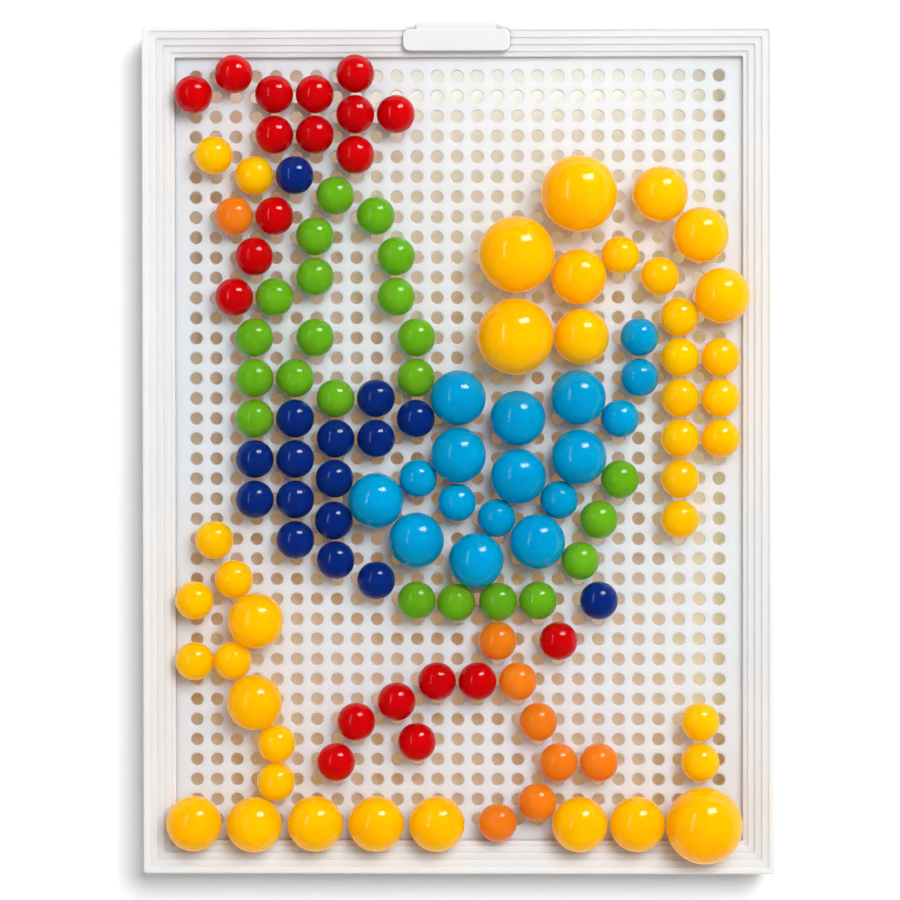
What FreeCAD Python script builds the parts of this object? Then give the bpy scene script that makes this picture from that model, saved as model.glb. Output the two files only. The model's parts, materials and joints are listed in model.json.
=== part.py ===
import FreeCAD, Part
import math
import os
import Sketcher

# A peg mosaic board: a white tray frame with a stepped rim, a perforated panel seated in
# it, a clip plate over the middle of the far rim, and ball-headed pegs pushed into the
# panel to make a rooster.  Millimetres, +Z up, +Y towards the clip plate.  The origin is
# the centre of the whole object's footprint, on the surface that the tray stands on.

SIZES = {
    # Hole grid of the panel.  Column 0 is at -X and row 0 is at +Y.
    "HolePitch": 5.5,
    "HoleColumns": 27,
    "HoleRows": 38,
    "HoleDiameter": 3.4,
    "HoleChamfer": 0.2,
    # Plain strips of panel between the outer holes and the rim.
    "LandLeft": 5.6,
    "LandRight": 6.4,
    "LandTop": 5.0,
    "LandBottom": 5.55,
    # Tray frame: a rim of treads that step down towards the panel, on a thin skirt.  The
    # innermost tread is narrower than the others.
    "TrayHeight": 18.0,
    "RimWidth": 8.65,
    "TreadCount": 5,
    "TreadWidth": 1.85,
    "StepRise": 0.6,
    "TreadRound": 0.3,
    "OuterCorner": 0.9,
    "InnerCorner": 0.6,
    "OuterRound": 0.5,
    "InnerWall": 2.0,
    "SkirtWall": 2.0,
    "RibWidth": 1.2,
    "RibDrop": 1.5,
    "RimSkin": 1.6,
    # Panel.
    "PanelThickness": 2.0,
    "PanelLap": 2.0,
    "PanelClearance": 0.1,
    # Clip plate let into the far rim, with a lip outside the skirt.
    "ClipWidth": 29.2,
    "ClipDepth": 6.0,
    "ClipInset": 1.35,
    "ClipCorner": 2.0,
    "ClipThickness": 2.2,
    "ClipProud": 0.4,
    "ClipLip": 0.7,
    "ClipLipWidth": 22.0,
    "ClipLipHeight": 9.0,
    "ClipRound": 0.3,
    # Pegs: a ball head on a collar that sits on the panel, over a plain shank.
    "SmallHead": 10.4,
    "MediumHead": 15.0,
    "LargeHead": 20.6,
    "HeadGap": 0.06,
    "CollarDiameter": 4.6,
    "CollarHeight": 0.4,
    "SeatGap": 0.1,
    "ShankDiameter": 2.8,
    "ShankLength": 8.5,
    "ShankChamfer": 0.6,
    # Room that stays between a leaning shank and its hole's wall.
    "SlideGap": 0.03,
}

# The picture: each node's head size, and the (column, row) hole of each of its pegs.
PICTURE = {
    "peg_red_comb_front": ("Small", [(0, 1), (2, 0), (4, 1)]),
    "peg_red_comb_crown": ("Small", [(6, 1), (8, 0), (8, 2), (10, 2)]),
    "peg_red_comb_base": ("Small", [(4, 3), (6, 3), (8, 4)]),
    "peg_red_wattle": ("Small", [(4, 7), (3, 9), (2, 11)]),
    "peg_red_rump": ("Small", [(18, 28)]),
    "peg_red_leg": ("Small", [(14, 30), (12, 30), (10, 31)]),
    "peg_red_foot": ("Small", [(8, 32), (11, 33), (7, 34)]),
    "peg_orange_cheek": ("Small", [(2, 7)]),
    "peg_orange_thigh": ("Small", [(15, 28), (16, 30)]),
    "peg_orange_shin": ("Small", [(17, 32), (18, 34), (20, 34), (17, 36), (15, 37)]),
    "peg_yellow_beak": ("Small", [(1, 4), (3, 5)]),
    "peg_yellow_tail_root": ("Small", [(21, 9), (23, 10)]),
    "peg_yellow_tail_inner": ("Small", [(24, 12), (24, 14), (24, 16), (24, 18)]),
    "peg_yellow_tail_outer": ("Small", [(26, 14), (26, 16), (26, 18)]),
    "peg_yellow_tail_tip": ("Small", [(24, 20), (24, 22)]),
    "peg_yellow_left_leaves": ("Small", [(1, 23), (2, 25), (0, 26), (0, 29), (2, 29)]),
    "peg_yellow_left_stem": ("Small", [(4, 33), (4, 35)]),
    "peg_yellow_right_stem": ("Small", [(25, 32), (25, 34)]),
    "peg_navy_eye": ("Small", [(5, 5)]),
    "peg_navy_breast_top": ("Small", [(9, 16), (11, 17), (7, 18), (9, 18)]),
    "peg_navy_breast_front": ("Small", [(5, 17), (3, 19), (5, 19)]),
    "peg_navy_breast_middle": ("Small", [(7, 20), (3, 21), (5, 21)]),
    "peg_navy_breast_low": ("Small", [(7, 22), (5, 23), (7, 24), (9, 25)]),
    "peg_navy_vent": ("Small", [(20, 26)]),
    "peg_green_neck_back": ("Small", [(7, 6), (9, 7), (10, 9), (10, 11)]),
    "peg_green_neck_front": ("Small", [(6, 8), (6, 10), (4, 11)]),
    "peg_green_neck_low": ("Small", [(3, 13), (6, 13), (3, 15), (5, 15), (7, 16), (3, 17)]),
    "peg_green_back": ("Small", [(11, 13), (11, 15)]),
    "peg_green_belly": ("Small", [(11, 26), (13, 26), (15, 26), (17, 26)]),
    "peg_green_rump": ("Small", [(21, 20), (20, 22), (19, 24)]),
    "peg_sky_tail_root": ("Small", [(22, 13), (22, 15), (21, 17)]),
    "peg_sky_wing_low": ("Small", [(11, 20), (15, 22), (18, 21)]),
    "peg_sky_wing_leaning": ("Small", [(13, 21)]),
    "peg_yellow_medium_tail_crest": ("Medium", [(23, 6), (25, 8)]),
    "peg_yellow_medium_tail_edge": ("Medium", [(26, 11)]),
    "peg_yellow_medium_tail_heart": ("Medium", [(19, 10)]),
    "peg_yellow_medium_tail_leaning": ("Medium", [(19, 13)]),
    "peg_yellow_medium_left_plant": ("Medium", [(3, 27), (3, 31)]),
    "peg_yellow_medium_ground_left": ("Medium", [(0, 37), (3, 37), (6, 37)]),
    "peg_yellow_medium_ground_middle": ("Medium", [(9, 37), (12, 37)]),
    "peg_yellow_medium_ground_right": ("Medium", [(19, 37)]),
    "peg_yellow_medium_ground_leaning": ("Medium", [(22, 37)]),
    "peg_sky_medium_1": ("Medium", [(13, 16)]),
    "peg_sky_medium_2": ("Medium", [(16, 17)]),
    "peg_sky_medium_3": ("Medium", [(19, 16)]),
    "peg_sky_medium_4": ("Medium", [(13, 19)]),
    "peg_sky_medium_5": ("Medium", [(16, 20)]),
    "peg_sky_medium_6": ("Medium", [(19, 19)]),
    "peg_sky_medium_7": ("Medium", [(9, 21)]),
    "peg_sky_medium_8": ("Medium", [(11, 23)]),
    "peg_sky_medium_9": ("Medium", [(14, 24)]),
    "peg_sky_medium_10": ("Medium", [(17, 23)]),
    "peg_yellow_large_tail_top": ("Large", [(19, 6)]),
    "peg_yellow_large_tail_upper": ("Large", [(16, 9)]),
    "peg_yellow_large_tail_lower": ("Large", [(16, 13)]),
    "peg_yellow_large_ground": ("Large", [(25, 37)]),
}

# Derived sizes, written for the sheet's expressions.
HALF_WIDTH = (
    "((Sizes.HoleColumns - 1) * Sizes.HolePitch + Sizes.LandLeft + Sizes.LandRight"
    " + 2 * Sizes.RimWidth) / 2"
)
HALF_LENGTH = (
    "((Sizes.HoleRows - 1) * Sizes.HolePitch + Sizes.LandTop + Sizes.LandBottom"
    " + 2 * Sizes.RimWidth) / 2"
)
FIRST_COLUMN = f"Sizes.RimWidth + Sizes.LandLeft - {HALF_WIDTH}"
FIRST_ROW = f"{HALF_LENGTH} - Sizes.RimWidth - Sizes.LandTop"
PANEL_TOP = (
    "(Sizes.TrayHeight - (Sizes.TreadCount - 1) * Sizes.StepRise"
    " - Sizes.InnerWall)"
)
PANEL_EDGE = "(Sizes.RimWidth - Sizes.PanelLap)"
SEAT_EDGE = "(Sizes.RimWidth - Sizes.PanelLap - Sizes.PanelClearance)"
CLIP_TOP = "(Sizes.TrayHeight + Sizes.ClipProud)"
BRIDGE_EDGE = f"{HALF_LENGTH} - Sizes.ClipInset - Sizes.ClipCorner"
MIDDLE_COLUMN = f"({FIRST_COLUMN} + (Sizes.HoleColumns - 1) / 2 * Sizes.HolePitch)"

doc = FreeCAD.newDocument("PegMosaic")


def add_sheet():
    """Put the driving dimensions in a spreadsheet, one aliased cell each."""
    table = doc.addObject("Spreadsheet::Sheet", "Sizes")
    for row, (alias, value) in enumerate(SIZES.items(), start=1):
        table.set(f"A{row}", alias)
        table.set(f"B{row}", str(value))
        table.setAlias(f"B{row}", alias)
    doc.recompute()
    return table


def size(alias):
    """A driving dimension's value."""
    return float(sheet.get(alias))


def add_body(label):
    """A PartDesign body that stands where the tray stands."""
    body = doc.addObject("PartDesign::Body", label)
    body.Label = label
    body.setExpression("Placement.Base.y", "-Sizes.ClipLip / 2")
    return body


def add_sketch(body, name, plane="XY_Plane", height=None):
    """A sketch on one of the body's own origin planes, raised by an expression."""
    sketch = body.newObject("Sketcher::SketchObject", name)
    origin = next(item for item in body.Origin.OriginFeatures if item.Role == plane)
    sketch.AttachmentSupport = (origin, "")
    sketch.MapMode = "FlatFace"
    if height:
        sketch.setExpression("AttachmentOffset.Base.z", height)
    return sketch


def bind(sketch, constraint, name, expression):
    """Add a named dimension to a sketch and drive it from the sheet."""
    index = sketch.addConstraint(constraint)
    sketch.renameConstraint(index, name)
    sketch.setExpression(f"Constraints.{name}", expression)


def reach(axis, line, value):
    """A distance along an axis between the origin and the start of a line."""
    if value < 0:
        return Sketcher.Constraint("Distance" + axis, line, 1, -1, 1, -value)
    return Sketcher.Constraint("Distance" + axis, -1, 1, line, 1, value)


def draw_rounded_rectangle(sketch, name, sides, corner):
    """A rectangle with rounded corners, each side placed by its distance from the origin.

    The sides are left, right, bottom and top, each a rough place and an expression.
    """
    radius = 0.5
    first = sketch.GeometryCount
    (left, _), (right, _), (bottom, _), (top, _) = sides
    centres = [
        FreeCAD.Vector(right - radius, bottom + radius, 0),
        FreeCAD.Vector(right - radius, top - radius, 0),
        FreeCAD.Vector(left + radius, top - radius, 0),
        FreeCAD.Vector(left + radius, bottom + radius, 0),
    ]
    for number, centre in enumerate(centres):
        start = (number - 1) * math.pi / 2
        outwards = FreeCAD.Vector(math.cos(start), math.sin(start), 0) * radius
        side = Part.LineSegment(centres[number - 1] + outwards, centre + outwards)
        sketch.addGeometry(side, False)
        circle = Part.Circle(centre, FreeCAD.Vector(0, 0, 1), radius)
        sketch.addGeometry(Part.ArcOfCircle(circle, start, start + math.pi / 2), False)
    for number in range(4):
        line = first + 2 * number
        arc = line + 1
        following = first + (2 * number + 2) % 8
        sketch.addConstraint(Sketcher.Constraint("Tangent", line, 2, arc, 1))
        sketch.addConstraint(Sketcher.Constraint("Tangent", arc, 2, following, 1))
        direction = "Vertical" if number % 2 else "Horizontal"
        sketch.addConstraint(Sketcher.Constraint(direction, line))
        if number:
            sketch.addConstraint(Sketcher.Constraint("Equal", first + 1, arc))
    lines = (("Left", "X", 6), ("Right", "X", 2), ("Bottom", "Y", 0), ("Top", "Y", 4))
    for (side, axis, line), (value, expression) in zip(lines, sides):
        bind(sketch, reach(axis, first + line, value), name + side, expression)
    bind(sketch, Sketcher.Constraint("Radius", first + 1, radius), name + "Corner", corner)


def draw_tray_outline(sketch, name, inset, corner):
    """A rounded rectangle, a constant inset inside the tray's outline."""
    half_width = f"{HALF_WIDTH} - {inset}"
    half_length = f"{HALF_LENGTH} - {inset}"
    sides = [(-80.0, half_width), (80.0, half_width), (-110.0, half_length), (110.0, half_length)]
    draw_rounded_rectangle(sketch, name, sides, corner)


def draw_outline(sketch, points):
    """A closed outline of straight lines, each corner placed by two expressions.

    Each point holds a rough x and y, then its distances from the two axes as expressions,
    or None where it lies on an axis.
    """
    count = len(points)
    for number, (x, y, _, _) in enumerate(points):
        next_x, next_y, _, _ = points[(number + 1) % count]
        start = FreeCAD.Vector(x, y, 0)
        end = FreeCAD.Vector(next_x, next_y, 0)
        sketch.addGeometry(Part.LineSegment(start, end), False)
    for number, point in enumerate(points):
        following = (number + 1) % count
        sketch.addConstraint(Sketcher.Constraint("Coincident", number, 2, following, 1))
        place_point(sketch, number, point)


def place_point(sketch, number, point):
    """Fix the start of one line at its distances from the sketch's two axes."""
    x, y, across, along = point
    for value, expression, kind, axis in ((x, across, "X", -2), (y, along, "Y", -1)):
        if expression is None:
            sketch.addConstraint(Sketcher.Constraint("PointOnObject", number, 1, axis))
        else:
            bind(sketch, reach(kind, number, value), f"{kind}{number}", expression)


def draw_clip_outline(sketch, clearance):
    """The clip plate's plan: a rounded rectangle let into the far rim."""
    half_width = f"Sizes.ClipWidth / 2 + {clearance}"
    outer_edge = f"{HALF_LENGTH} - Sizes.ClipInset + {clearance}"
    inner_edge = f"{HALF_LENGTH} - Sizes.ClipInset - Sizes.ClipDepth - {clearance}"
    draw_rounded_rectangle(sketch, "Plate", [
        (-15.0, f"{half_width} - {MIDDLE_COLUMN}"),
        (14.0, f"{half_width} + {MIDDLE_COLUMN}"),
        (108.0, inner_edge),
        (114.0, outer_edge),
    ], f"Sizes.ClipCorner + {clearance}")


def draw_lip_outline(sketch, inner_edge, clearance):
    """A strip's plan, as wide as the lip, from an inner edge to outside the tray's edge."""
    left = f"Sizes.ClipLipWidth / 2 + {clearance} - {MIDDLE_COLUMN}"
    right = f"Sizes.ClipLipWidth / 2 + {clearance} + {MIDDLE_COLUMN}"
    outer_edge = f"{HALF_LENGTH} + Sizes.ClipLip"
    draw_outline(sketch, [
        (-12.0, 114.0, left, inner_edge),
        (10.0, 114.0, right, inner_edge),
        (10.0, 116.3, right, outer_edge),
        (-12.0, 116.3, left, outer_edge),
    ])


def add_pad(body, name, sketch, length):
    """Raise a sketch's outline upwards."""
    pad = body.newObject("PartDesign::Pad", name)
    pad.Profile = sketch
    pad.setExpression("Length", length)
    sketch.Visibility = False
    return pad


def add_pocket(body, name, sketch, depth, upwards=False):
    """Cut a sketch's outline down from its plane, or up from it, and prove that it cuts."""
    doc.recompute()
    before = body.Shape.Volume
    pocket = body.newObject("PartDesign::Pocket", name)
    pocket.Profile = sketch
    pocket.Reversed = upwards
    pocket.setExpression("Length", depth)
    doc.recompute()
    if body.Shape.Volume > before - 1.0:
        raise RuntimeError(f"{name} cuts nothing")
    return pocket


def edges_at(shape, height, inset):
    """Names of the edges that run level at a height, a given inset from the outline."""
    box = shape.BoundBox
    found = []
    for number, edge in enumerate(shape.Edges, start=1):
        middle = edge.valueAt((edge.FirstParameter + edge.LastParameter) / 2)
        level = edge.BoundBox.ZLength < 1e-6 and abs(middle.z - height) < 1e-6
        gap_x = min(middle.x - box.XMin, box.XMax - middle.x)
        gap_y = min(middle.y - box.YMin, box.YMax - middle.y)
        # On a corner arc the middle stands further in than on the straights.
        if level and inset - 1e-6 < min(gap_x, gap_y) < inset + 0.5:
            found.append(f"Edge{number}")
    return found


def add_fillet(body, name, edge_names, radius):
    """Round the named edges of the body's last feature."""
    base = body.Tip
    fillet = body.newObject("PartDesign::Fillet", name)
    fillet.Base = (base, edge_names)
    fillet.setExpression("Radius", radius)
    doc.recompute()
    return fillet


def make_tray_frame():
    """Skirt and stepped rim, with a ledge and rib for the panel underneath."""
    body = add_body("tray_frame")
    outline = add_sketch(body, "FrameOutline")
    draw_tray_outline(outline, "Outline", "0 * Sizes.RimWidth", "Sizes.OuterCorner")
    add_pad(body, "FrameBlock", outline, "Sizes.TrayHeight")
    risers = round(size("TreadCount")) - 1
    for step in range(1, risers + 1):
        tread = add_sketch(body, f"TreadOutline{step}", height="Sizes.TrayHeight")
        draw_tray_outline(tread, "Tread", f"{step} * Sizes.TreadWidth", "Sizes.InnerCorner")
        add_pocket(body, f"Tread{step}", tread, f"{step} * Sizes.StepRise")
    opening = add_sketch(body, "OpeningOutline", height="Sizes.TrayHeight")
    draw_tray_outline(opening, "Opening", "Sizes.RimWidth", "Sizes.InnerCorner")
    add_pocket(body, "Opening", opening, "Sizes.TrayHeight")
    underside = add_sketch(body, "UndersideOutline")
    draw_tray_outline(underside, "Underside", "Sizes.SkirtWall", "Sizes.InnerCorner")
    rib_bottom = f"{PANEL_TOP} - Sizes.PanelThickness - Sizes.RibDrop"
    add_pocket(body, "Underside", underside, rib_bottom, upwards=True)
    seat = add_sketch(body, "SeatOutline")
    draw_tray_outline(seat, "Seat", SEAT_EDGE, "Sizes.InnerCorner")
    add_pocket(body, "PanelSeat", seat, PANEL_TOP, upwards=True)
    groove = add_sketch(body, "GrooveOutline")
    rib_outside = f"({SEAT_EDGE} - Sizes.RibWidth)"
    draw_tray_outline(groove, "GrooveOuter", "Sizes.SkirtWall", "Sizes.InnerCorner")
    draw_tray_outline(groove, "GrooveInner", rib_outside, "Sizes.InnerCorner")
    groove_top = "Sizes.TrayHeight - 2 * Sizes.StepRise - Sizes.RimSkin"
    add_pocket(body, "RimGroove", groove, groove_top, upwards=True)
    insets = [step * size("TreadWidth") for step in range(1, risers + 1)]
    insets.append(size("RimWidth"))
    for step, inset in enumerate(insets):
        height = size("TrayHeight") - step * size("StepRise")
        lips = edges_at(body.Shape, height, inset)
        add_fillet(body, f"LipRound{step}", lips, "Sizes.TreadRound")
    rim_edge = edges_at(body.Shape, size("TrayHeight"), 0.0)
    add_fillet(body, "RimRound", rim_edge, "Sizes.OuterRound")
    clip_seat = add_sketch(body, "ClipSeatOutline", height=CLIP_TOP)
    draw_clip_outline(clip_seat, "Sizes.PanelClearance")
    add_pocket(body, "ClipSeat", clip_seat, "Sizes.ClipThickness")
    lip_notch = add_sketch(body, "LipNotchOutline", height="Sizes.TrayHeight")
    draw_lip_outline(lip_notch, BRIDGE_EDGE, "Sizes.PanelClearance")
    add_pocket(body, "LipNotch", lip_notch, "Sizes.ClipThickness - Sizes.ClipProud")
    return body


def make_peg_panel():
    """Flat panel with a square grid of chamfered through holes."""
    body = add_body("peg_panel")
    bottom = f"{PANEL_TOP} - Sizes.PanelThickness"
    outline = add_sketch(body, "PanelOutline", height=bottom)
    draw_tray_outline(outline, "Panel", PANEL_EDGE, "Sizes.InnerCorner")
    add_pad(body, "PanelPlate", outline, "Sizes.PanelThickness")
    doc.recompute()
    plate_volume = body.Shape.Volume
    section = add_sketch(body, "HoleSection", plane="XZ_Plane")
    section.setExpression("AttachmentOffset.Base.x", FIRST_COLUMN)
    section.setExpression("AttachmentOffset.Base.y", PANEL_TOP)
    section.setExpression("AttachmentOffset.Base.z", f"-({FIRST_ROW})")
    radius = "Sizes.HoleDiameter / 2"
    chamfer = "Sizes.HoleChamfer"
    draw_outline(section, [
        (0.0, 0.0, None, None),
        (1.9, 0.0, f"{radius} + {chamfer}", None),
        (1.7, -0.2, radius, chamfer),
        (1.7, -2.0, radius, "Sizes.PanelThickness"),
        (0.0, -2.0, None, "Sizes.PanelThickness"),
    ])
    hole = body.newObject("PartDesign::Groove", "Hole")
    hole.Profile = section
    hole.ReferenceAxis = (section, ["V_Axis"])
    hole.Angle = 360.0
    doc.recompute()
    hole_volume = plate_volume - body.Shape.Volume
    grid = body.newObject("PartDesign::MultiTransform", "HoleGrid")
    grid.Originals = [hole]
    row = add_pattern(body, "ColumnsAlongRow", "X_Axis", False, "HoleColumns")
    column = add_pattern(body, "RowsDownPanel", "Y_Axis", True, "HoleRows")
    grid.Transformations = [row, column]
    body.Tip = grid
    doc.recompute()
    count = size("HoleColumns") * size("HoleRows")
    if abs(plate_volume - body.Shape.Volume - count * hole_volume) > 0.5:
        raise RuntimeError("the panel doesn't have its full grid of holes")
    return body


def add_pattern(body, name, axis, backwards, count_alias):
    """One direction of the hole grid."""
    pattern = body.newObject("PartDesign::LinearPattern", name)
    direction = next(item for item in body.Origin.OriginFeatures if item.Role == axis)
    pattern.Direction = (direction, [""])
    pattern.Reversed = backwards
    pattern.setExpression("Occurrences", f"Sizes.{count_alias}")
    pattern.setExpression("Length", f"(Sizes.{count_alias} - 1) * Sizes.HolePitch")
    return pattern


def make_rim_clip():
    """Smooth plate let into the far rim, bridged to a lip down the outside of the skirt."""
    body = add_body("rim_clip")
    plate_bottom = f"{CLIP_TOP} - Sizes.ClipThickness"
    plate = add_sketch(body, "ClipPlateOutline", height=plate_bottom)
    draw_clip_outline(plate, "0 * Sizes.ClipWidth")
    add_pad(body, "ClipPlate", plate, "Sizes.ClipThickness")
    bridge = add_sketch(body, "ClipBridgeOutline", height=plate_bottom)
    draw_lip_outline(bridge, BRIDGE_EDGE, "0 * Sizes.ClipWidth")
    add_pad(body, "ClipBridge", bridge, "Sizes.ClipThickness - Sizes.ClipProud")
    lip = add_sketch(body, "ClipLipOutline", height="Sizes.TrayHeight - Sizes.ClipLipHeight")
    draw_lip_outline(lip, f"{HALF_LENGTH} + Sizes.PanelClearance", "0 * Sizes.ClipWidth")
    add_pad(body, "ClipLip", lip, "Sizes.ClipLipHeight")
    doc.recompute()
    top = size("TrayHeight") + size("ClipProud")
    rim = []
    for number, edge in enumerate(body.Shape.Edges, start=1):
        box = edge.BoundBox
        if box.ZLength < 1e-6 and abs(box.ZMax - top) < 1e-6:
            rim.append(f"Edge{number}")
    add_fillet(body, "ClipRound", rim, "Sizes.ClipRound")
    return body


def make_peg_pattern(kind):
    """One whole peg of a head size, its collar's underside at the origin, head upwards."""
    body = doc.addObject("PartDesign::Body", f"{kind}Peg")
    section = add_sketch(body, f"{kind}PegSection", plane="XZ_Plane")
    radius = size(f"{kind}Head") / 2
    collar = size("CollarDiameter") / 2
    centre = size("CollarHeight") + radius
    shoulder = math.asin(collar / radius)
    shank = "Sizes.ShankDiameter / 2"
    corners = [
        (0.0, -8.5, None, "Sizes.ShankLength"),
        (0.8, -8.5, f"{shank} - Sizes.ShankChamfer", "Sizes.ShankLength"),
        (1.4, -7.9, shank, "Sizes.ShankLength - Sizes.ShankChamfer"),
        (1.4, 0.0, shank, None),
        (2.3, 0.0, "Sizes.CollarDiameter / 2", None),
    ]
    ends = [FreeCAD.Vector(x, y, 0) for x, y, _, _ in corners]
    ends.append(FreeCAD.Vector(collar, centre - radius * math.cos(shoulder), 0))
    for start, end in zip(ends, ends[1:]):
        section.addGeometry(Part.LineSegment(start, end), False)
    circle = Part.Circle(FreeCAD.Vector(0, centre, 0), FreeCAD.Vector(0, 0, 1), radius)
    section.addGeometry(Part.ArcOfCircle(circle, shoulder - math.pi / 2, math.pi / 2), False)
    crown = FreeCAD.Vector(0, centre + radius, 0)
    section.addGeometry(Part.LineSegment(crown, ends[0]), False)
    head = len(corners)
    axis = head + 1
    for number in range(axis + 1):
        following = (number + 1) % (axis + 1)
        section.addConstraint(Sketcher.Constraint("Coincident", number, 2, following, 1))
    for number, corner in enumerate(corners):
        place_point(section, number, corner)
    section.addConstraint(Sketcher.Constraint("Vertical", head - 1))
    section.addConstraint(Sketcher.Constraint("PointOnObject", axis, 1, -2))
    section.addConstraint(Sketcher.Constraint("PointOnObject", head, 3, -2))
    bind(section, Sketcher.Constraint("Radius", head, radius), "Head", f"Sizes.{kind}Head / 2")
    rise = Sketcher.Constraint("DistanceY", -1, 1, head, 3, centre)
    bind(section, rise, "HeadCentre", f"Sizes.CollarHeight + Sizes.{kind}Head / 2")
    turned = body.newObject("PartDesign::Revolution", f"{kind}PegTurned")
    turned.Profile = section
    turned.ReferenceAxis = (section, ["V_Axis"])
    turned.Angle = 360.0
    return body


def head_shifts():
    """How far each peg's head stands aside, so that every head can lift past its neighbours.

    A peg is a loose fit in its hole.  Where two heads are wider than their holes' spacing
    allows, both stand away from each other by half of what is missing.
    """
    pitch = size("HolePitch")
    pegs = []
    for kind, holes in PICTURE.values():
        for column, row in holes:
            pegs.append(((column, row), size(f"{kind}Head") / 2))
    holes = [FreeCAD.Vector(column, -row, 0) * pitch for (column, row), _ in pegs]
    heads = list(holes)
    crowded = True
    while crowded:
        crowded = False
        for second in range(len(pegs)):
            for first in range(second):
                apart = heads[second] - heads[first]
                missing = pegs[first][1] + pegs[second][1] + size("HeadGap") - apart.Length
                if missing > 1e-6:
                    push = apart * (missing / 2 / apart.Length)
                    heads[first] = heads[first] - push
                    heads[second] = heads[second] + push
                    crowded = True
    return {hole: heads[n] - holes[n] for n, (hole, _) in enumerate(pegs)}


def place_peg(peg, kind, column, row, shift):
    """Stand a peg in its hole so that its head stands aside by the shift.

    The shank slides in its hole until it is near the wall, and leans for what is missing.
    """
    half_panel = size("PanelThickness") / 2
    seat = half_panel + size("SeatGap")
    arm = seat + size("CollarHeight") + size(f"{kind}Head") / 2
    play = (size("HoleDiameter") - size("ShankDiameter")) / 2 - size("SlideGap")
    slope = max(0.0, (shift.Length - play) / (arm - half_panel))
    slide = min(shift.Length, play - slope * half_panel)
    tilt = math.atan(slope)
    lift = (seat + size("CollarDiameter") / 2 * math.sin(tilt)) / math.cos(tilt)
    stand = FreeCAD.Vector(0, 0, lift)
    if shift.Length:
        axis = FreeCAD.Vector(0, 0, 1).cross(shift)
        rotation = FreeCAD.Rotation(axis, math.degrees(tilt))
        peg.Placement = FreeCAD.Placement(FreeCAD.Vector(0, 0, 0), rotation)
        stand = rotation.multVec(stand) + shift * (slide / shift.Length)
    in_column = f"{FIRST_COLUMN} + {column} * Sizes.HolePitch"
    in_row = f"{FIRST_ROW} - {row} * Sizes.HolePitch"
    peg.setExpression("Placement.Base.x", f"{in_column} + {stand.x}")
    peg.setExpression("Placement.Base.y", f"{in_row} + {stand.y}")
    peg.setExpression("Placement.Base.z", f"{PANEL_TOP} - Sizes.PanelThickness / 2 + {stand.z}")


def make_peg_node(label, kind, holes, shifts):
    """The pegs of one part of the picture, as separate solids in one sub-part."""
    pegs = []
    for column, row in holes:
        peg = doc.addObject("App::Link", f"{label}_hole_{column}_{row}")
        peg.LinkedObject = patterns[kind]
        place_peg(peg, kind, column, row, shifts[(column, row)])
        pegs.append(peg)
    node = doc.addObject("Part::Compound", label)
    node.Label = label
    node.Links = pegs
    node.setExpression("Placement.Base.y", "-Sizes.ClipLip / 2")
    return node


def check_document():
    """Stop if any object failed to recompute."""
    for item in doc.Objects:
        failed = {"Invalid", "Error"} & set(item.State)
        if failed:
            raise RuntimeError(f"{item.Name} is {failed}")


def export_nodes(nodes):
    """Check each sub-part's shape, then write one STEP file for each."""
    for node in nodes:
        if node.Shape.isNull() or not node.Shape.isValid():
            raise RuntimeError(f"{node.Label} has no valid shape")
    os.makedirs("parts", exist_ok=True)
    for node in nodes:
        node.Shape.exportStep(f"parts/{node.Label}.step")
        print(node.Label, len(node.Shape.Solids), "solids", round(node.Shape.Volume, 1), "mm3")


sheet = add_sheet()
nodes = [make_tray_frame(), make_rim_clip(), make_peg_panel()]
patterns = {kind: make_peg_pattern(kind) for kind in ("Small", "Medium", "Large")}
shifts = head_shifts()
for label, (kind, holes) in PICTURE.items():
    nodes.append(make_peg_node(label, kind, holes, shifts))
doc.recompute()
check_document()
export_nodes(nodes)
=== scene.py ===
import json
import math

import bpy
from mathutils import Matrix, Vector

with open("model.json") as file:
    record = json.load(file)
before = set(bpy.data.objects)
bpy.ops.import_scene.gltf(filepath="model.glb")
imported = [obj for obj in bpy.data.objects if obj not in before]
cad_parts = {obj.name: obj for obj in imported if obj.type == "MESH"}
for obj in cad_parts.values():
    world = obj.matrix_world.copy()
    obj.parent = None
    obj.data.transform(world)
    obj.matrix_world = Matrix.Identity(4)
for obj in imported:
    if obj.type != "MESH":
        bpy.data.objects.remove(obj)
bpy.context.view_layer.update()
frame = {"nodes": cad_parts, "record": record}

# Peg mosaic board: a white tray with a perforated panel and glossy ball-headed pegs,
# lying on a white table under soft studio light, seen from straight above.
# Lengths are in metres, powers in watts and noise scales in cells per metre.

MM = 0.001
WHITE = (1.0, 1.0, 1.0)
UP = (0.0, 0.0, 1.0)

PEG_COLOURS = {
    # slot: (base colour, scatter radii in mm, strength of the painted glow that lifts the
    # shaded sides)
    "peg_red": ((0.48, 0.001, 0.003), (20.0, 0.4, 0.4), 0.0),
    "peg_orange": ((0.66, 0.16, 0.008), (24.0, 9.0, 0.6), 0.16),
    "peg_yellow": ((0.86, 0.39, 0.0), (30.0, 14.0, 0.3), 0.20),
    "peg_green": ((0.14, 0.33, 0.010), (0.6, 24.0, 0.8), 0.0),
    "peg_navy": ((0.003, 0.022, 0.17), (0.4, 1.0, 12.0), 0.0),
    "peg_sky": ((0.0, 0.32, 0.55), (0.3, 3.0, 12.0), 0.0),
}
PEG_DARKEST_TINT = 0.86      # of the base colour, in the cloudy patches
PEG_ROUGHNESS = (0.055, 0.085)
PEG_SPECULAR = 0.17
PEG_SCATTER = 1.0
PEG_WAVE_DEPTH = 0.00001
PEG_CLOUDS, PEG_MARKS, PEG_WAVES = 90.0, 700.0, 260.0

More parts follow.
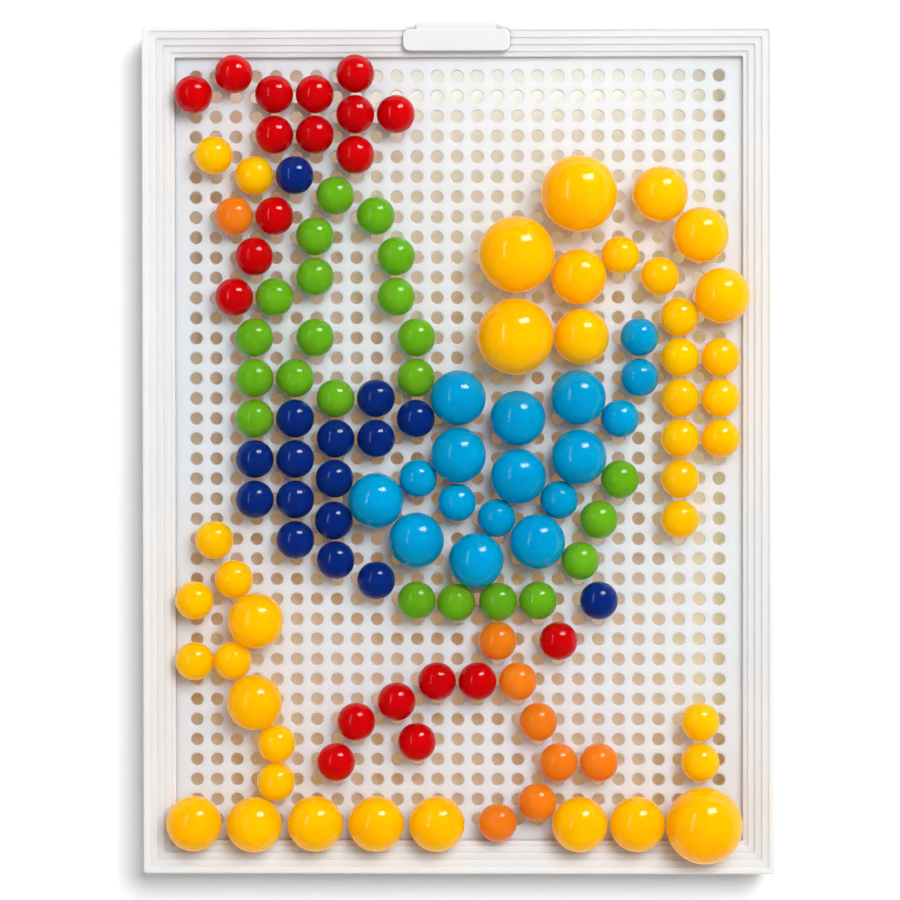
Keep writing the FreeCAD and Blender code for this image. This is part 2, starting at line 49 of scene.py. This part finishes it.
BOARD_COLOURS = {
    # slot: (base colour, mean roughness, scatter radii in mm)
    "board_white": ((0.73, 0.73, 0.73), 0.38, (4.5, 4.2, 3.9)),
    "panel_white": ((0.68, 0.70, 0.72), 0.42, (8.0, 6.0, 4.5)),
    "clip_white": ((0.70, 0.70, 0.695), 0.34, (1.6, 1.4, 1.2)),
}
BOARD_DARKEST_TINT = 0.97
BOARD_ROUGHNESS_SPREAD = 0.06
BOARD_SPECULAR = 0.30
BOARD_SCATTER = 0.8
BOARD_SKIN_DEPTH = 0.00001
BOARD_PATCHES, BOARD_GRAIN, BOARD_SKIN = 40.0, 1800.0, 2600.0

RAMP_START, RAMP_END = 0.35, 0.65

FLOOR_SIZE = 6.0
FLOOR_WHITES = ((0.93, 0.93, 0.93), (0.95, 0.95, 0.95))
FLOOR_PATCHES = 12.0
FLOOR_ROUGHNESS = 0.9

SOFTBOXES = (
    # name, direction from the board, distance, width, length, power, makes only highlights
    ("key_softbox", (0.42, 0.72, 0.55), 1.0, 0.48, 0.28, 13.5, True),
    ("strip_softbox", (-0.57, 0.23, 0.79), 0.8, 0.07, 0.80, 1.5, True),
    ("overhead_softbox", (0.27, 0.32, 0.90), 1.2, 0.55, 0.55, 14.5, False),
)
LAMPS_UNDER_PANEL = (
    # name, middle, width, length, power, colour
    ("warm_light", (0.0, 0.0, 0.0095), 0.167, 0.226, 0.0175, (1.0, 0.45, 0.02)),
    ("warm_light_near", (0.0, -0.072, 0.0092), 0.160, 0.072, 0.0020, (1.0, 0.42, 0.0)),
    ("pale_light_far", (0.016, 0.103, 0.0089), 0.104, 0.010, 0.0032, (0.80, 0.97, 1.0)),
    ("pale_light_left", (-0.055, 0.098, 0.0080), 0.034, 0.012, 0.0007, (1.0, 0.70, 0.62)),
    ("pale_light_broad", (0.022, 0.070, 0.0086), 0.110, 0.060, 0.0010, (1.0, 0.95, 0.3)),
    ("pale_light_right", (0.070, 0.006, 0.0083), 0.010, 0.165, 0.0022, (0.82, 0.96, 0.60)),
)
ROOM_LIGHT = 0.44            # strength of the pale room on matt surfaces
ROOM_MIRRORED = 0.08         # strength of the same room in reflections

LENS_MM = 105.0
CAMERA_PLACE = (0.00883, 0.00869, 0.732)
CAMERA_TILT_DEGREES = (-0.733, 0.893, -0.064)
CAMERA_REACH = 10.0


def new_material(name):
    """A node material with only its Principled shader and output."""
    material = bpy.data.materials.new(name)
    material.use_nodes = True
    shader = material.node_tree.nodes["Principled BSDF"]
    return material, material.node_tree, shader


def add_noise(tree, scale, detail=2.0):
    """Noise over the object's own coordinates, which are metres in the shared frame."""
    place = tree.nodes.new("ShaderNodeTexCoord")
    noise = tree.nodes.new("ShaderNodeTexNoise")
    noise.inputs["Scale"].default_value = scale
    noise.inputs["Detail"].default_value = detail
    noise.inputs["Roughness"].default_value = 0.5
    tree.links.new(place.outputs["Object"], noise.inputs["Vector"])
    return noise.outputs["Fac"]


def add_ramp(tree, source, low, high):
    """Turns noise into a colour or value between two ends."""
    ramp = tree.nodes.new("ShaderNodeValToRGB")
    stops = zip(ramp.color_ramp.elements, (RAMP_START, RAMP_END), (low, high))
    for stop, place, value in stops:
        stop.position = place
        stop.color = (*value, 1.0) if isinstance(value, tuple) else (value, value, value, 1.0)
    tree.links.new(source, ramp.inputs["Fac"])
    return ramp.outputs["Color"]


def add_bump(tree, shader, height, distance):
    """Relief from a height pattern, its depth in metres."""
    bump = tree.nodes.new("ShaderNodeBump")
    bump.inputs["Distance"].default_value = distance
    bump.inputs["Strength"].default_value = 1.0
    tree.links.new(height, bump.inputs["Height"])
    tree.links.new(bump.outputs["Normal"], shader.inputs["Normal"])


def scatter(shader, weight, radii_mm):
    """Lets light into the plastic."""
    shader.subsurface_method = "RANDOM_WALK"
    shader.inputs["Subsurface Weight"].default_value = weight
    shader.inputs["Subsurface Radius"].default_value = radii_mm
    shader.inputs["Subsurface Scale"].default_value = MM


def peg_plastic(slot, colour, radii_mm, painted_glow):
    """Polished moulded plastic with a faint cloudiness and the odd fine handling mark."""
    material, tree, shader = new_material(slot)
    deep = tuple(PEG_DARKEST_TINT * c for c in colour)
    pigment = add_ramp(tree, add_noise(tree, PEG_CLOUDS), deep, colour)
    tree.links.new(pigment, shader.inputs["Base Color"])
    gloss = add_ramp(tree, add_noise(tree, PEG_MARKS, detail=4.0), *PEG_ROUGHNESS)
    tree.links.new(gloss, shader.inputs["Roughness"])
    add_bump(tree, shader, add_noise(tree, PEG_WAVES, detail=1.0), PEG_WAVE_DEPTH)
    shader.inputs["Specular IOR Level"].default_value = PEG_SPECULAR
    scatter(shader, PEG_SCATTER, radii_mm)
    # Painted light: an emitted glow in the base colour, which lifts the shaded sides of the
    # yellow and orange pegs.
    shader.inputs["Emission Color"].default_value = (*colour, 1.0)
    shader.inputs["Emission Strength"].default_value = painted_glow
    return material


def board_plastic(slot, colour, roughness, radii_mm):
    """White satin plastic with a fine spark-eroded skin, which light soaks through."""
    material, tree, shader = new_material(slot)
    shade = tuple(BOARD_DARKEST_TINT * c for c in colour)
    tint = add_ramp(tree, add_noise(tree, BOARD_PATCHES), shade, colour)
    tree.links.new(tint, shader.inputs["Base Color"])
    smoothest = roughness - BOARD_ROUGHNESS_SPREAD
    roughest = roughness + BOARD_ROUGHNESS_SPREAD
    skin = add_ramp(tree, add_noise(tree, BOARD_GRAIN, detail=3.0), smoothest, roughest)
    tree.links.new(skin, shader.inputs["Roughness"])
    add_bump(tree, shader, add_noise(tree, BOARD_SKIN), BOARD_SKIN_DEPTH)
    shader.inputs["Specular IOR Level"].default_value = BOARD_SPECULAR
    scatter(shader, BOARD_SCATTER, radii_mm)
    return material


def paint_nodes():
    """Gives every CAD node the material of its slot."""
    materials = {}
    for slot, (colour, roughness, radii_mm) in BOARD_COLOURS.items():
        materials[slot] = board_plastic(slot, colour, roughness, radii_mm)
    for slot, (colour, radii_mm, painted_glow) in PEG_COLOURS.items():
        materials[slot] = peg_plastic(slot, colour, radii_mm, painted_glow)
    for row in frame["record"]["subparts"]:
        mesh = frame["nodes"][row["node"]].data
        mesh.materials.clear()
        mesh.materials.append(materials[row["material_slot"]])


def add_floor():
    """A plain white table top, far wider than the view."""
    bpy.ops.mesh.primitive_plane_add(size=FLOOR_SIZE, location=(0, 0, 0))
    floor = bpy.context.object
    floor.name = "table_top"
    material, tree, shader = new_material("table_top")
    tint = add_ramp(tree, add_noise(tree, FLOOR_PATCHES), *FLOOR_WHITES)
    tree.links.new(tint, shader.inputs["Base Color"])
    shader.inputs["Roughness"].default_value = FLOOR_ROUGHNESS
    floor.data.materials.append(material)


def add_lamp(name, width, length, power, colour):
    """A rectangular lamp, which shines along its own -Z."""
    lamp = bpy.data.lights.new(name, "AREA")
    lamp.shape = "RECTANGLE"
    lamp.size = width
    lamp.size_y = length
    lamp.energy = power
    lamp.color = colour
    holder = bpy.data.objects.new(name, lamp)
    bpy.context.scene.collection.objects.link(holder)
    return holder


def aim(holder, direction):
    """Turns a lamp that lies in a direction from the board towards it, its length near +Y."""
    way = Vector(direction).normalized()
    across = Vector((0, 1, 0)).cross(way).normalized()
    upright = way.cross(across)
    holder.rotation_euler = Matrix((across, upright, way)).transposed().to_euler()
    return way


def light_studio():
    """Softboxes over the board, and a pale room that the glossy plastic hardly mirrors."""
    for name, direction, distance, width, length, power, highlights_only in SOFTBOXES:
        softbox = add_lamp(name, width, length, power, WHITE)
        softbox.location = aim(softbox, direction) * distance
        softbox.visible_diffuse = not highlights_only
        softbox.visible_glossy = highlights_only
    world = bpy.data.worlds.new("studio")
    bpy.context.scene.world = world
    world.use_nodes = True
    tree = world.node_tree
    background = tree.nodes["Background"]
    background.inputs["Color"].default_value = (*WHITE, 1.0)
    path = tree.nodes.new("ShaderNodeLightPath")
    level = tree.nodes.new("ShaderNodeMapRange")
    level.inputs["To Min"].default_value = ROOM_LIGHT
    level.inputs["To Max"].default_value = ROOM_MIRRORED
    tree.links.new(path.outputs["Is Glossy Ray"], level.inputs["Value"])
    tree.links.new(level.outputs["Result"], background.inputs["Strength"])


def light_holes():
    """Weak lamps between the panel and the table, which show in the holes only.

    Each one has a height of its own, because two lamps in one plane hide each other.
    """
    for name, middle, width, length, power, colour in LAMPS_UNDER_PANEL:
        lamp = add_lamp(name, width, length, power, colour)
        aim(lamp, UP)
        lamp.location = middle
        lamp.visible_glossy = False


def add_camera():
    """A long lens almost straight above the board."""
    data = bpy.data.cameras.new("camera")
    data.lens = LENS_MM
    data.clip_end = CAMERA_REACH
    camera = bpy.data.objects.new("camera", data)
    camera.location = CAMERA_PLACE
    camera.rotation_euler = [math.radians(angle) for angle in CAMERA_TILT_DEGREES]
    bpy.context.scene.collection.objects.link(camera)
    bpy.context.scene.camera = camera


paint_nodes()
add_floor()
light_studio()
light_holes()
add_camera()
bpy.context.scene.view_settings.view_transform = "Standard"
